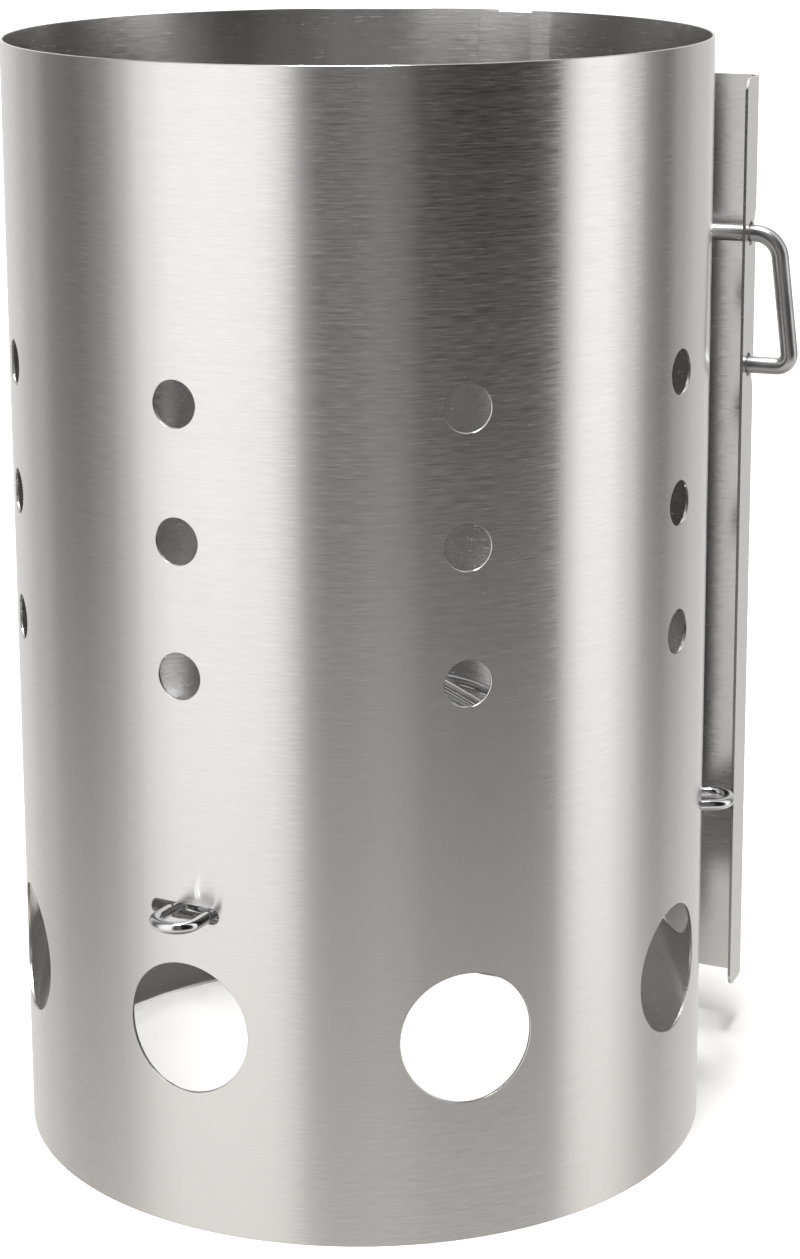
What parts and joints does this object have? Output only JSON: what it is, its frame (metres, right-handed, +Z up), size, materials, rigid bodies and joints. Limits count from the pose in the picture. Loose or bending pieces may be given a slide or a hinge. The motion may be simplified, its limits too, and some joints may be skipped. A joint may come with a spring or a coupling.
{
  "type": "chimney charcoal starter",
  "caption": "Open brushed-steel cylinder with air holes, a bent hand shield that is part of its wall, a wire handle and a wire cone grate.",
  "frame": {"origin": "bottom centre of the whole object's box, on the surface it stands on; the cylinder's axis is 15.3 mm towards -X and 0.5 mm towards +Y from it", "axes": "+Z up along the cylinder's axis, +X towards the side with the handle, -Y the front, which shows two columns of air holes; the hand shield lies at the right towards the back"},
  "size_m": [0.2216, 0.192, 0.3048],
  "materials": {
    "brushed_stainless_sheet": "brushed round the wall, satin",
    "polished_steel_rod": "drawn rod, polished",
    "bright_grate_wire": "bright drawn and plated wire"
  },
  "bodies": {
    "root": {"wall_sheet": "brushed_stainless_sheet", "handle_rod": "polished_steel_rod", "grate_support_1": "bright_grate_wire", "grate_support_2": "bright_grate_wire", "grate_support_3": "bright_grate_wire", "grate_base_ring": "bright_grate_wire", "grate_cone_ring_1": "bright_grate_wire", "grate_cone_ring_2": "bright_grate_wire", "grate_cone_ring_3": "bright_grate_wire"}
  },
  "joints": []
}
